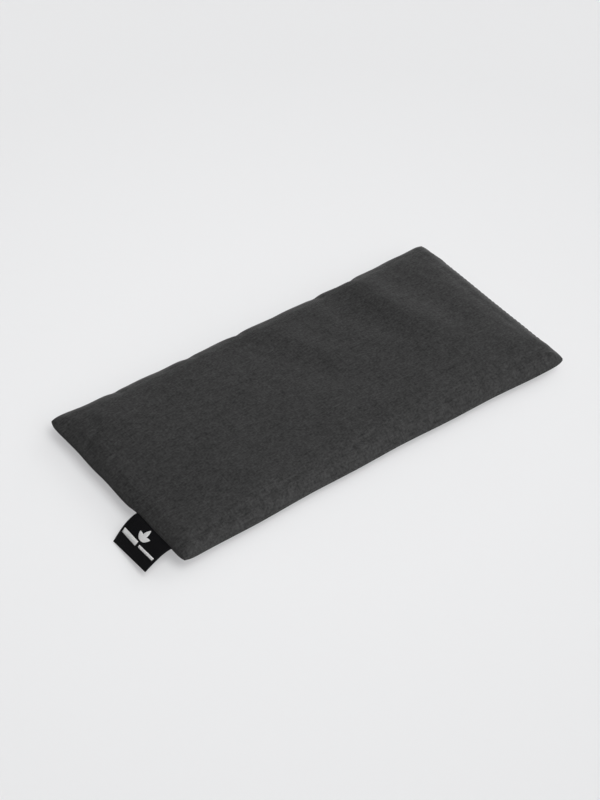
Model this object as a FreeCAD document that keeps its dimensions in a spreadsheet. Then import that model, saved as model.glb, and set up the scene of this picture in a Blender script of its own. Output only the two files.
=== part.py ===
"""Eye pillow: a flat cotton cover sewn shut round a seed-filled inner pouch, with a folded side label.

Millimetres, +Z up.  +X runs along the pillow away from the label, +Y across it.
The origin is on the face the pillow rests on, under the middle of its outline.
"""

import FreeCAD
import Part
import math
import os

import Sketcher

SIZES = {
    # the cover
    "pillow_length": 230.0,
    "pillow_width": 115.0,
    "pillow_height": 17.0,
    "cloth": 0.45,
    "corner_radius": 3.0,
    "crown_reach": 16.0,
    "crown_rounding": 11.0,
    "allowance": 6.0,
    # the flat lip where the cover was closed after filling
    "lip_width": 2.4,
    "lip_length": 78.0,
    "lip_shift": -1.0,
    # the inner pouch and what it holds
    "pouch_cloth": 0.35,
    "pouch_space": 0.6,
    "pouch_allowance": 5.0,
    "pouch_gap": 0.25,
    "pouch_reach": 10.0,
    "fill_space": 0.1,
    "fill_edge_space": 0.7,
    "fill_core_overlap": 1.0,
    "bud_length": 5.0,
    "bud_diameter": 2.0,
    "bud_margin": 17.0,
    "bud_drift": 2.8,
    # threads
    "thread": 0.3,
    "pitch": 2.8,
    "stitch": 2.2,
    "seam_stitch_inset": 1.9,
    "lip_stitch_inset": 1.1,
    "row_end": 1.0,
    "corner_gap": 2.5,
    # the folded ribbon label
    "ribbon": 0.2,
    "label_width": 28.0,
    "label_centre": -33.5,
    "label_curve": 14.0,
    "label_gap": 0.4,
    "label_root": 0.4,
    "label_clearance": 0.3,
    "label_rest_gap": 0.1,
    "slot_margin": 1.0,
    "slot_side_space": 0.1,
    "slot_depth_space": 0.02,
    "tail_end_space": 0.2,
    # the woven mark: a sprig of three leaves, then a heavy and a light bar
    "mark_relief": 0.06,
    "leaf_length": 6.2,
    "leaf_width": 2.5,
    "side_leaf_share": 0.7,
    "side_leaf_across": 3.1,
    "leaf_row": 4.9,
    "bar_row": 10.6,
    "bar_length": 11.8,
    "bar_across": 6.6,
    "heavy_bar": 2.2,
    "light_bar": 1.1,
}

doc = FreeCAD.newDocument("eye_pillow")
sheet = doc.addObject("Spreadsheet::Sheet", "Sizes")
for row, (alias, size) in enumerate(SIZES.items(), start=1):
    sheet.set(f"A{row}", alias)
    sheet.set(f"B{row}", str(size))
    sheet.setAlias(f"B{row}", alias)
doc.recompute()


def size(alias):
    """Return one driving size from the sheet."""
    return float(sheet.get(alias))


SEAM_HEIGHT = size("pillow_height") / 2
CHAMBER_LENGTH = size("pillow_length") - size("lip_width")
CHAMBER_SHIFT = -size("lip_width") / 2
PLACE = FreeCAD.Placement(FreeCAD.Vector(CHAMBER_SHIFT, 0, SEAM_HEIGHT), FreeCAD.Rotation())
CHAMBER = "(Sizes.pillow_length - Sizes.lip_width)"
COVER_OUTLINE = (CHAMBER, "Sizes.pillow_width")
POUCH_INSET = "2 * (Sizes.allowance + Sizes.pouch_space)"
POUCH_OUTLINE = (f"({CHAMBER} - {POUCH_INSET})", f"(Sizes.pillow_width - {POUCH_INSET})")
POUCH_RISE = "(Sizes.pillow_height / 2 - Sizes.cloth - Sizes.pouch_gap)"
POUCH_INSIDE = f"({POUCH_RISE} - Sizes.pouch_cloth - Sizes.fill_space)"
SEED_TOP = f"({POUCH_INSIDE} - Sizes.bud_diameter - 0.1)"
LOFT_STEPS = 4
# a sloping wall is this much wider, measured level, than the cloth is thick
WALL_SHARE = 1.5
parts = []


def keep(piece, label):
    """Name a finished sub-part and list it for writing."""
    piece.Label = label
    parts.append(piece)
    return piece


# ---------------------------------------------------------------- sketches


def origin_plane(body, role):
    """Find one of a body's own origin planes."""
    return next(f for f in body.Origin.OriginFeatures if f.Role == role)


def new_sketch(body, name, plane="XY_Plane", offset=None):
    """Attach an empty sketch to a body's plane, with an expression for its offset along the normal."""
    sketch = body.newObject("Sketcher::SketchObject", name)
    sketch.AttachmentSupport = [(origin_plane(body, plane), "")]
    sketch.MapMode = "FlatFace"
    if offset is not None:
        sketch.setExpression("AttachmentOffset.Base.z", offset)
    return sketch


def evaluate(expression):
    """Work out an expression of sheet sizes."""
    return float(sheet.evalExpression(expression))


def rounded_rectangle(sketch, length, width, radius):
    """Draw a rectangle with round corners about the sketch's origin, bound to three expressions."""
    half_x = evaluate(length) / 2
    half_y = evaluate(width) / 2
    r = evaluate(radius)
    first = sketch.GeometryCount
    corners = [(1, 1, 0), (-1, 1, 90), (-1, -1, 180), (1, -1, 270)]
    for sx, sy, start in corners:
        centre = FreeCAD.Vector(sx * (half_x - r), sy * (half_y - r), 0)
        circle = Part.Circle(centre, FreeCAD.Vector(0, 0, 1), r)
        sketch.addGeometry(Part.ArcOfCircle(circle, math.radians(start), math.radians(start + 90)))
    for i in range(4):
        arc_end = sketch.getPoint(first + i, 2)
        next_start = sketch.getPoint(first + (i + 1) % 4, 1)
        sketch.addGeometry(Part.LineSegment(arc_end, next_start))
    for i in range(4):
        arc = first + i
        side = first + 4 + i
        following = first + (i + 1) % 4
        sketch.addConstraint(Sketcher.Constraint("Tangent", arc, 2, side, 1))
        sketch.addConstraint(Sketcher.Constraint("Tangent", side, 2, following, 1))
        if i:
            sketch.addConstraint(Sketcher.Constraint("Equal", first, arc))
    sketch.addConstraint(Sketcher.Constraint("Horizontal", first + 4))
    sketch.addConstraint(Sketcher.Constraint("Vertical", first + 5))
    sketch.addConstraint(Sketcher.Constraint("Symmetric", first, 3, first + 2, 3, -1, 1))
    bind(sketch, Sketcher.Constraint("Radius", first, r), radius)
    bind(sketch, Sketcher.Constraint("DistanceX", first + 1, 3, first, 3, 2 * (half_x - r)),
         f"{length} - 2 * {radius}")
    bind(sketch, Sketcher.Constraint("DistanceY", first + 3, 3, first, 3, 2 * (half_y - r)),
         f"{width} - 2 * {radius}")


def bind(sketch, constraint, expression):
    """Add a dimension to a sketch and drive it from the sheet."""
    index = sketch.addConstraint(constraint)
    sketch.setExpression(f"Constraints[{index}]", expression)


def plain_rectangle(sketch, left, right, low, high):
    """Draw a rectangle whose four sides are at expressions of the sheet."""
    x0, x1, y0, y1 = (evaluate(e) for e in (left, right, low, high))
    points = [(x0, y0), (x1, y0), (x1, y1), (x0, y1)]
    for i in range(4):
        a = FreeCAD.Vector(*points[i], 0)
        b = FreeCAD.Vector(*points[(i + 1) % 4], 0)
        sketch.addGeometry(Part.LineSegment(a, b))
    for i in range(4):
        sketch.addConstraint(Sketcher.Constraint("Coincident", i, 2, (i + 1) % 4, 1))
    for i in (0, 2):
        sketch.addConstraint(Sketcher.Constraint("Horizontal", i))
        sketch.addConstraint(Sketcher.Constraint("Vertical", i + 1))
    bind(sketch, Sketcher.Constraint("DistanceX", -1, 1, 0, 1, x0), left)
    bind(sketch, Sketcher.Constraint("DistanceX", -1, 1, 0, 2, x1), right)
    bind(sketch, Sketcher.Constraint("DistanceY", -1, 1, 0, 1, y0), low)
    bind(sketch, Sketcher.Constraint("DistanceY", -1, 1, 2, 1, y1), high)


# ---------------------------------------------------------------- sewn panels


def inset(expression, amount):
    """Expression of a length or width that is smaller by amount at each end."""
    return f"({expression} - 2 * ({amount}))"


def crowned_loft(body, kind, name, side, outline, start, reach, base, rise):
    """Loft from a seam outline up to a flat crown whose side profile is a parabola.

    outline is the expressions of the seam's length and width; the loft starts at the inset start
    and the height base, and after reach it has come to the height rise, side 1 being up.
    """
    length, width = outline
    sections = []
    for step in range(LOFT_STEPS + 1):
        share = step / LOFT_STEPS
        curve = 1 - (1 - share) ** 2
        gone = f"{start} + {reach} * {share}"
        level = f"{side} * ({base} + ({rise} - {base}) * {curve})"
        sketch = new_sketch(body, f"{name}_section_{step}", offset=level)
        radius = f"(Sizes.corner_radius + Sizes.crown_rounding * {share})"
        rounded_rectangle(sketch, inset(length, gone), inset(width, gone), radius)
        sections.append(sketch)
    loft = body.newObject(kind, name)
    loft.Profile = sections[0]
    loft.Sections = sections[1:]
    loft.Ruled = False
    doc.recompute()
    return loft


def sewn_panel(name, side, outline, rise, reach, cloth, allowance):
    """Make one panel of a bag: a shallow tray of cloth with its seam allowance turned inwards."""
    body = doc.addObject("PartDesign::Body", name)
    crowned_loft(body, "PartDesign::AdditiveLoft", f"{name}_outside", side, outline,
                 "0", reach, "0", rise)
    crowned_loft(body, "PartDesign::SubtractiveLoft", f"{name}_inside", side, outline,
                 f"({WALL_SHARE} * {cloth})", reach, "0", f"({rise} - {cloth})")
    ring = new_sketch(body, f"{name}_allowance")
    length, width = outline
    rounded_rectangle(ring, length, width, "Sizes.corner_radius")
    rounded_rectangle(ring, inset(length, allowance), inset(width, allowance), "Sizes.corner_radius")
    turned = body.newObject("PartDesign::Pad", f"{name}_turned")
    turned.Profile = ring
    turned.Reversed = side < 0
    turned.setExpression("Length", cloth)
    doc.recompute()
    return body


def add_lip(body, side):
    """Add the flat edge-stitched lip outside the chamber: the cloth and its turned-in edge."""
    sketch = new_sketch(body, f"{body.Name}_lip")
    plain_rectangle(
        sketch,
        f"{CHAMBER} / 2 - Sizes.cloth",
        f"{CHAMBER} / 2 + Sizes.lip_width",
        "Sizes.lip_shift - Sizes.lip_length / 2",
        "Sizes.lip_shift + Sizes.lip_length / 2",
    )
    lip = body.newObject("PartDesign::Pad", f"{body.Name}_lip_pad")
    lip.Profile = sketch
    lip.Reversed = side < 0
    lip.setExpression("Length", "2 * Sizes.cloth")
    doc.recompute()


def cut_label_slot(body, side):
    """Relieve the seam where the label's sewn ends lie between the two panels."""
    before = body.Shape.Volume
    sketch = new_sketch(body, f"{body.Name}_slot")
    plain_rectangle(
        sketch,
        f"-{CHAMBER} / 2 - Sizes.slot_margin",
        f"-{CHAMBER} / 2 + Sizes.allowance + Sizes.slot_margin",
        "Sizes.label_centre - Sizes.label_width / 2 - Sizes.slot_side_space",
        "Sizes.label_centre + Sizes.label_width / 2 + Sizes.slot_side_space",
    )
    slot = body.newObject("PartDesign::Pocket", f"{body.Name}_slot_cut")
    slot.Profile = sketch
    slot.Reversed = side > 0
    slot.setExpression("Length", "Sizes.ribbon + Sizes.slot_depth_space")
    doc.recompute()
    if body.Shape.Volume >= before:
        raise RuntimeError(f"the label slot of {body.Name} cut nothing")


def cover_panel(name, side):
    body = sewn_panel(name, side, COVER_OUTLINE, "Sizes.pillow_height / 2", "Sizes.crown_reach",
                      "Sizes.cloth", "Sizes.allowance")
    add_lip(body, side)
    cut_label_slot(body, side)
    body.Placement = PLACE
    return keep(body, name)


def pouch_panel(name, side):
    body = sewn_panel(name, side, POUCH_OUTLINE, POUCH_RISE, "Sizes.pouch_reach",
                      "Sizes.pouch_cloth", "Sizes.pouch_allowance")
    body.Placement = PLACE
    return keep(body, name)


cover_panel("cover_top_panel", 1)
cover_panel("cover_bottom_panel", -1)
pouch_panel("pouch_top_panel", 1)
pouch_panel("pouch_bottom_panel", -1)


# ---------------------------------------------------------------- filling


def flaxseed():
    """Fill the pouch: two crowned halves and a core that passes between the seam allowances."""
    name = "flaxseed_fill"
    body = doc.addObject("PartDesign::Body", name)
    base = "(Sizes.pouch_cloth + Sizes.thread + Sizes.fill_space)"
    wall = f"({WALL_SHARE} * Sizes.pouch_cloth + Sizes.fill_edge_space)"
    half_core = f"({base} + Sizes.fill_core_overlap)"
    core = new_sketch(body, "core_outline", offset=f"-{half_core}")
    between = "(Sizes.pouch_allowance + 2 * Sizes.fill_space)"
    length, width = POUCH_OUTLINE
    rounded_rectangle(core, inset(length, between), inset(width, between), "Sizes.corner_radius")
    middle = body.newObject("PartDesign::Pad", "core")
    middle.Profile = core
    middle.setExpression("Length", f"2 * {half_core}")
    doc.recompute()
    for half, side, rise in (("upper", 1, SEED_TOP), ("lower", -1, POUCH_INSIDE)):
        crowned_loft(body, "PartDesign::AdditiveLoft", half, side, POUCH_OUTLINE, wall,
                     "Sizes.pouch_reach", base, rise)
    body.Placement = PLACE
    return keep(body, name)


def bud(middle, along):
    """Make one dried bud: a round-ended grain about a point, lying flat along a direction."""
    radius = size("bud_diameter") / 2
    barrel = size("bud_length") - 2 * radius
    start = middle - along * (barrel / 2)
    grain = Part.makeCylinder(radius, barrel, start, along)
    grain = grain.fuse(Part.makeSphere(radius, start))
    grain = grain.fuse(Part.makeSphere(radius, start + along * barrel))
    return grain.removeSplitter()


def lavender_buds():
    """Scatter dried buds over the seed, on a grid that the golden angle turns and shifts."""
    rows = 5
    columns = 12
    golden = math.radians(137.5)
    top = evaluate(POUCH_INSIDE) - size("bud_diameter") / 2
    reach_x = evaluate(POUCH_OUTLINE[0]) / 2 - size("bud_margin")
    reach_y = evaluate(POUCH_OUTLINE[1]) / 2 - size("bud_margin")
    drift = size("bud_drift")
    buds = []
    for i in range(columns):
        for j in range(rows):
            turn = golden * (i * rows + j)
            x = reach_x * (2 * i / (columns - 1) - 1) + drift * math.cos(3 * turn)
            y = reach_y * (2 * j / (rows - 1) - 1) + drift * math.sin(2 * turn)
            along = FreeCAD.Vector(math.cos(turn), math.sin(turn), 0)
            buds.append(bud(FreeCAD.Vector(x, y, top), along))
    piece = doc.addObject("Part::Feature", "lavender_buds")
    piece.Shape = Part.makeCompound(buds)
    piece.Placement = PLACE
    return keep(piece, "lavender_buds")


flaxseed()
lavender_buds()


# ---------------------------------------------------------------- threads


def stitch_at(point, along, z):
    """Make one stitch: a short bar of thread centred on a point and lying along a direction."""
    thread = size("thread")
    length = size("stitch")
    bar = Part.makeBox(length, thread, thread, FreeCAD.Vector(-length / 2, -thread / 2, 0))
    turn = FreeCAD.Rotation(FreeCAD.Vector(0, 0, 1), math.degrees(math.atan2(along.y, along.x)))
    bar.Placement = FreeCAD.Placement(FreeCAD.Vector(point.x, point.y, z), turn)
    return bar


def stitches_on(edge, z):
    """Space stitches evenly along a straight edge."""
    count = max(1, round(edge.Length / size("pitch")))
    along = edge.tangentAt(edge.FirstParameter)
    row = []
    for i in range(count):
        point = edge.valueAt(edge.getParameterByLength(edge.Length * (i + 0.5) / count))
        row.append(stitch_at(point, along, z))
    return row


def sides(length, width, back):
    """Four straight seam lines of a rectangle, each stopping short of the corners by back."""
    x = length / 2
    y = width / 2
    ends = [
        ((-x, -y + back), (-x, y - back)),
        ((-x + back, y), (x - back, y)),
        ((x, y - back), (x, -y + back)),
        ((x - back, -y), (-x + back, -y)),
    ]
    return [
        Part.makeLine(FreeCAD.Vector(*a, 0), FreeCAD.Vector(*b, 0))
        for a, b in ends
    ]


def thread_piece(name, edges, z):
    row = [bar for edge in edges for bar in stitches_on(edge, z)]
    piece = doc.addObject("Part::Feature", name)
    piece.Shape = Part.makeCompound(row)
    piece.Placement = PLACE
    return keep(piece, name)


def seam_threads(prefix, length, width, cloth, skip_gap):
    """Make the needle thread above a seam's two allowances and the bobbin thread below them."""
    inside = size("seam_stitch_inset")
    left, rear, right, front = sides(length - 2 * inside, width - 2 * inside, size("corner_gap"))
    if skip_gap:
        x = right.Vertexes[0].X
        ends = sorted(v.Y for v in right.Vertexes)
        gap = (size("lip_shift") - size("lip_length") / 2, size("lip_shift") + size("lip_length") / 2)
        right_lines = [
            Part.makeLine(FreeCAD.Vector(x, ends[0], 0), FreeCAD.Vector(x, gap[0], 0)),
            Part.makeLine(FreeCAD.Vector(x, gap[1], 0), FreeCAD.Vector(x, ends[1], 0)),
        ]
    else:
        right_lines = [right]
    edges = [left, rear, *right_lines, front]
    thread_piece(f"{prefix}_needle_thread", edges, cloth)
    thread_piece(f"{prefix}_bobbin_thread", edges, -cloth - size("thread"))


def closing_threads():
    """Make the straight row of stitches that closes the lip, above and below it."""
    x = CHAMBER_LENGTH / 2 + size("lip_width") - size("lip_stitch_inset")
    half = size("lip_length") / 2 - size("row_end")
    y = size("lip_shift")
    line = Part.makeLine(FreeCAD.Vector(x, y - half, 0), FreeCAD.Vector(x, y + half, 0))
    surface = 2 * size("cloth")
    thread_piece("closing_needle_thread", [line], surface)
    thread_piece("closing_bobbin_thread", [line], -surface - size("thread"))


seam_threads("cover_seam", CHAMBER_LENGTH, size("pillow_width"), size("cloth"), True)
seam_threads("pouch_seam", *map(evaluate, POUCH_OUTLINE), size("pouch_cloth"), False)
closing_threads()


# ---------------------------------------------------------------- side label

FOLD_OUTER = (size("label_gap") + size("ribbon")) / 2
ROOT_X = -size("pillow_length") / 2 - size("label_clearance") - size("label_root")
LABEL_PLACE = FreeCAD.Placement(
    FreeCAD.Vector(ROOT_X, size("label_centre"), SEAM_HEIGHT), FreeCAD.Rotation()
)
# the ribbon bends down from the seam until its fold is just above the resting plane
LABEL_DROP = SEAM_HEIGHT - FOLD_OUTER - size("label_rest_gap")
LABEL_SWEEP = math.acos(1 - LABEL_DROP / size("label_curve"))


def side_label():
    """Sweep the ribbon out along its upper leg, round the fold and back along its lower leg."""
    body = doc.addObject("PartDesign::Body", "side_label")
    route = new_sketch(body, "ribbon_route", "XZ_Plane")
    half_gap = size("label_gap") / 2
    curve = size("label_curve")
    centre = FreeCAD.Vector(0, -curve, 0)
    normal = FreeCAD.Vector(0, 0, 1)
    end = math.pi / 2 + LABEL_SWEEP
    fold_centre = centre + FreeCAD.Vector(curve * math.cos(end), curve * math.sin(end), 0)
    upper = Part.ArcOfCircle(Part.Circle(centre, normal, curve + half_gap), math.pi / 2, end)
    fold = Part.ArcOfCircle(Part.Circle(fold_centre, normal, half_gap), end, end + math.pi)
    lower = Part.ArcOfCircle(Part.Circle(centre, normal, curve - half_gap), math.pi / 2, end)
    for piece in (upper, fold, lower):
        route.addGeometry(piece)
    route.addConstraint(Sketcher.Constraint("Tangent", 0, 2, 1, 1))
    route.addConstraint(Sketcher.Constraint("Tangent", 1, 2, 2, 2))
    route.addConstraint(Sketcher.Constraint("Coincident", 0, 3, 2, 3))
    route.addConstraint(Sketcher.Constraint("PointOnObject", 0, 3, -2))
    route.addConstraint(Sketcher.Constraint("PointOnObject", 0, 1, -2))
    route.addConstraint(Sketcher.Constraint("PointOnObject", 2, 1, -2))
    bind(route, Sketcher.Constraint("Radius", 0, curve + half_gap),
         "Sizes.label_curve + Sizes.label_gap / 2")
    bind(route, Sketcher.Constraint("Radius", 1, half_gap), "Sizes.label_gap / 2")
    bind(route, Sketcher.Constraint("DistanceY", 0, 3, -1, 1, curve), "Sizes.label_curve")
    bind(route, Sketcher.Constraint("DistanceY", 1, 3, -1, 1, -fold_centre.y),
         "Sizes.pillow_height / 2 - (Sizes.label_gap + Sizes.ribbon) / 2 - Sizes.label_rest_gap")
    section = new_sketch(body, "ribbon_section", "YZ_Plane")
    plain_rectangle(
        section,
        "-Sizes.label_width / 2",
        "Sizes.label_width / 2",
        "Sizes.label_gap / 2 - Sizes.ribbon / 2",
        "Sizes.label_gap / 2 + Sizes.ribbon / 2",
    )
    pipe = body.newObject("PartDesign::AdditivePipe", "ribbon_sweep")
    pipe.Profile = section
    pipe.Spine = (route, ["Edge1", "Edge2", "Edge3"])
    doc.recompute()
    rod = new_sketch(body, "root_circle", "XZ_Plane")
    rod.addGeometry(Part.Circle(FreeCAD.Vector(0, 0, 0), normal, size("label_root")))
    rod.addConstraint(Sketcher.Constraint("Coincident", 0, 3, -1, 1))
    bind(rod, Sketcher.Constraint("Radius", 0, size("label_root")), "Sizes.label_root")
    root = body.newObject("PartDesign::Pad", "root")
    root.Profile = rod
    root.Midplane = True
    root.setExpression("Length", "Sizes.label_width")
    doc.recompute()
    body.Placement = LABEL_PLACE
    return keep(body, "side_label")


def label_tails():
    """Make the ribbon's two ends, sewn flat between the seam allowances."""
    box = doc.addObject("Part::Box", "label_sewn_ends")
    box.setExpression("Length", "Sizes.allowance - Sizes.tail_end_space")
    box.setExpression("Width", "Sizes.label_width")
    box.setExpression("Height", "2 * Sizes.ribbon")
    corner = FreeCAD.Vector(
        -size("pillow_length") / 2,
        size("label_centre") - size("label_width") / 2,
        SEAM_HEIGHT - size("ribbon"),
    )
    box.Placement = FreeCAD.Placement(corner, FreeCAD.Rotation())
    return keep(box, "label_sewn_ends")


def on_label(outline, distance):
    """Turn a flat outline, drawn across (y) and along (x) the label, into relief at a distance out."""
    curve = size("label_curve")
    inner = curve + FOLD_OUTER
    wide = size("label_width")
    start = FreeCAD.Vector(0, -wide / 2, -curve)
    axis = FreeCAD.Vector(0, 1, 0)
    skin = Part.makeCylinder(inner + size("mark_relief"), wide, start, axis)
    skin = skin.cut(Part.makeCylinder(inner, wide, start, axis))
    depth = 4
    stamp = Part.Face(outline).extrude(FreeCAD.Vector(0, 0, depth))
    stamp.translate(FreeCAD.Vector(0, 0, FOLD_OUTER - depth / 2))
    stamp.rotate(FreeCAD.Vector(0, 0, -curve), axis, -math.degrees(distance / inner))
    return skin.common(stamp)


def leaf_outline(length, width, across):
    """Draw a leaf from two arcs, its tips along the label."""
    tip = FreeCAD.Vector(-length / 2, across, 0)
    tail = FreeCAD.Vector(length / 2, across, 0)
    one = Part.Arc(tip, FreeCAD.Vector(0, across + width / 2, 0), tail).toShape()
    two = Part.Arc(tail, FreeCAD.Vector(0, across - width / 2, 0), tip).toShape()
    return Part.Wire([one, two])


def bar_outline(length, width, across):
    """Draw a plain bar, its length across the label."""
    corners = [
        FreeCAD.Vector(-width / 2, across - length / 2, 0),
        FreeCAD.Vector(width / 2, across - length / 2, 0),
        FreeCAD.Vector(width / 2, across + length / 2, 0),
        FreeCAD.Vector(-width / 2, across + length / 2, 0),
    ]
    return Part.makePolygon([*corners, corners[0]])


def label_mark():
    """Make the woven mark: a sprig of three leaves near the seam and two plain bars beyond it."""
    length = size("leaf_length")
    width = size("leaf_width")
    share = size("side_leaf_share")
    side = size("side_leaf_across")
    across = size("bar_across")
    pieces = [on_label(leaf_outline(length, width, 0), size("leaf_row"))]
    for y in (side, -side):
        pieces.append(on_label(leaf_outline(share * length, share * width, y), size("leaf_row")))
    for y, bar in ((across, "heavy_bar"), (-across, "light_bar")):
        pieces.append(on_label(bar_outline(size("bar_length"), size(bar), y), size("bar_row")))
    piece = doc.addObject("Part::Feature", "label_mark")
    piece.Shape = Part.makeCompound([solid for shape in pieces for solid in shape.Solids])
    piece.Placement = LABEL_PLACE
    return keep(piece, "label_mark")


side_label()
label_tails()
label_mark()


# ---------------------------------------------------------------- check and write

doc.recompute()
for item in doc.Objects:
    if "Invalid" in item.State or "Error" in item.State:
        raise RuntimeError(f"{item.Name} failed: {item.State}")
for piece in parts:
    if piece.Shape.isNull() or not piece.Shape.isValid():
        raise RuntimeError(f"{piece.Label} has no valid shape")
os.makedirs("parts", exist_ok=True)
for piece in parts:
    piece.Shape.exportStep(f"parts/{piece.Label}.step")
    box = piece.Shape.BoundBox
    print(f"{piece.Label}: {len(piece.Shape.Solids)} solids, {piece.Shape.Volume:.1f} mm3, "
          f"z {box.ZMin:.2f} to {box.ZMax:.2f}, x {box.XMin:.2f} to {box.XMax:.2f}")
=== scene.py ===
"""The eye pillow's looks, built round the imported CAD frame.

Metres, +Z up.  +X runs along the pillow away from its label.
"""

import math

import bpy
import numpy as np
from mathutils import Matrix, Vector


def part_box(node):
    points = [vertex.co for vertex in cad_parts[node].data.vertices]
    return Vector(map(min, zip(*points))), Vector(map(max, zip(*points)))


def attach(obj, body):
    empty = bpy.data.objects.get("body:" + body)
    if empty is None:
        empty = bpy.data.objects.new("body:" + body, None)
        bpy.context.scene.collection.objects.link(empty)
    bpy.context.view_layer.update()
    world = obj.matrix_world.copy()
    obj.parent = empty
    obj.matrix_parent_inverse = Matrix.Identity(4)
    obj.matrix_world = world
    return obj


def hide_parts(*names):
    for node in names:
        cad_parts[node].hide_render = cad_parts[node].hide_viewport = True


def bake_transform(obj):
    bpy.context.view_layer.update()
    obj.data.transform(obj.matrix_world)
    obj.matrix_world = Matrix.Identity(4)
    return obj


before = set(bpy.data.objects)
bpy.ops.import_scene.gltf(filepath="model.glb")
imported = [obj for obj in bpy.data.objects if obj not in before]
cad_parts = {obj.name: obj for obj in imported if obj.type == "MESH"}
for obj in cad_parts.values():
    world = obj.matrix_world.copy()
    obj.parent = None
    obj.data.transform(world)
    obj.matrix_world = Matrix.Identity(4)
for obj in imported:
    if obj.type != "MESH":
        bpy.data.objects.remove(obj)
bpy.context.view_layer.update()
MM = 0.001
rng = np.random.default_rng(7)

# ------------ sizes taken from the frame

panel_low, panel_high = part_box("cover_top_panel")
LENGTH = panel_high.x - panel_low.x
WIDTH = panel_high.y - panel_low.y
SEAM_Z = panel_low.z
CROWN_Z = panel_high.z
label_low, label_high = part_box("side_label")
closing_low, closing_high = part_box("closing_needle_thread")
GAP_LOW = closing_low.y - 1 * MM
GAP_HIGH = closing_high.y + 1 * MM


# ------------ camera, light and floor

# the camera looks down from the front left, from a metre away through a long lens
AZIMUTH, ELEVATION = math.radians(-36.69), math.radians(42.07)
LOOK_AT = Vector((-3.1 * MM, 5.5 * MM, 0))
DISTANCE, LENS = 1.0633, 97.62
BRIGHTEST = (0.38, -0.12, 0.92)
FLOOR_HALF = 6.0


def put(name, data):
    """Add an object to the scene."""
    thing = bpy.data.objects.new(name, data)
    bpy.context.scene.collection.objects.link(thing)
    return thing


def aim(thing, place, forward_axis, direction):
    """Set an object down and turn one of its axes to a direction."""
    thing.location = place
    thing.rotation_mode = "QUATERNION"
    thing.rotation_quaternion = direction.to_track_quat(forward_axis, "Y")


def camera():
    """Add the camera and make it the scene's own."""
    level = math.cos(ELEVATION)
    back = Vector((math.sin(AZIMUTH) * level, -math.cos(AZIMUTH) * level, math.sin(ELEVATION)))
    data = bpy.data.cameras.new("camera")
    data.sensor_width = 36
    data.lens = LENS
    bpy.context.scene.camera = put("camera", data)
    aim(bpy.context.scene.camera, LOOK_AT + back * DISTANCE, "-Z", -back)


def soft_sun(name, come_from, spread, power, colour, shadow=True):
    """Add one far lamp of the given angular size, shining from a direction."""
    data = bpy.data.lights.new(name, "SUN")
    data.angle = math.radians(spread)
    data.energy = power
    data.color = colour
    data.use_shadow = shadow
    aim(put(name, data), come_from, "Z", Vector(come_from))


def studio():
    """Light the pillow softly from the right and above, over a pale floor that glows of itself:
    painted light, brighter near the middle as a painted pool of light, which also lifts the shadows
    on the floor.
    """
    world = bpy.data.worlds.new("studio")
    bpy.context.scene.world = world
    sky = Nodes(world, "Background")
    direction = sky.add("ShaderNodeTexCoord").outputs["Generated"]
    facing = sky.add("ShaderNodeVectorMath", operation="DOT_PRODUCT")
    sky.link(direction, facing.inputs[0])
    sky.link(BRIGHTEST, facing.inputs[1])
    dome = sky.ramp(facing.outputs["Value"], (-0.1, 1.0), (0.02, 0.45))
    horizon = sky.ramp(sky.split(direction)[2], (0.12, 0.22), (0.76, 0.0), "SMOOTHSTEP")
    sky.set(Color=(0.985, 0.985, 1.0, 1), Strength=sky.math("MAXIMUM", dome, horizon))
    soft_sun("key", (0.08, -0.50, 1.0), 36, 1.18, (0.985, 0.99, 0.99))
    soft_sun("right_glow", (1.0, 0.05, 0.25), 60, 2.18, (0.985, 0.99, 0.99), shadow=False)
    soft_sun("front_glow", (0.15, -1.0, 0.40), 60, 1.46, (0.985, 0.99, 1.0), shadow=False)
    mesh = bpy.data.meshes.new("floor")
    corners = [(x * FLOOR_HALF, y * FLOOR_HALF, 0) for x, y in ((-1, -1), (1, -1), (1, 1), (-1, 1))]
    mesh.from_pydata(corners, [], [(0, 1, 2, 3)])
    floor = put("floor", mesh)
    painted_glow_floor = new_material("floor_painted_glow")
    from_middle = painted_glow_floor.add("ShaderNodeVectorMath", operation="LENGTH")
    painted_glow_floor.link(painted_glow_floor.add("ShaderNodeTexCoord").outputs["Object"], from_middle.inputs[0])
    # painted light: the floor glows of itself, a painted pool of light brighter near the middle,
    # which lifts the shadows cast on it
    painted_glow_floor.set(
        Base_Color=(0.60, 0.60, 0.60, 1),
        Roughness=0.9,
        Specular_IOR_Level=0.1,
        Emission_Color=(0.98, 0.98, 1.0, 1),
        Emission_Strength=painted_glow_floor.ramp(from_middle.outputs["Value"], (0.12, 0.30), (0.25, 0.205)),
    )
    mesh.materials.append(painted_glow_floor.owner)
    bpy.context.scene.view_settings.view_transform = "Standard"
    bpy.context.scene.view_settings.look = "None"


# ------------ the filled bag, by cloth simulation


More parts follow.
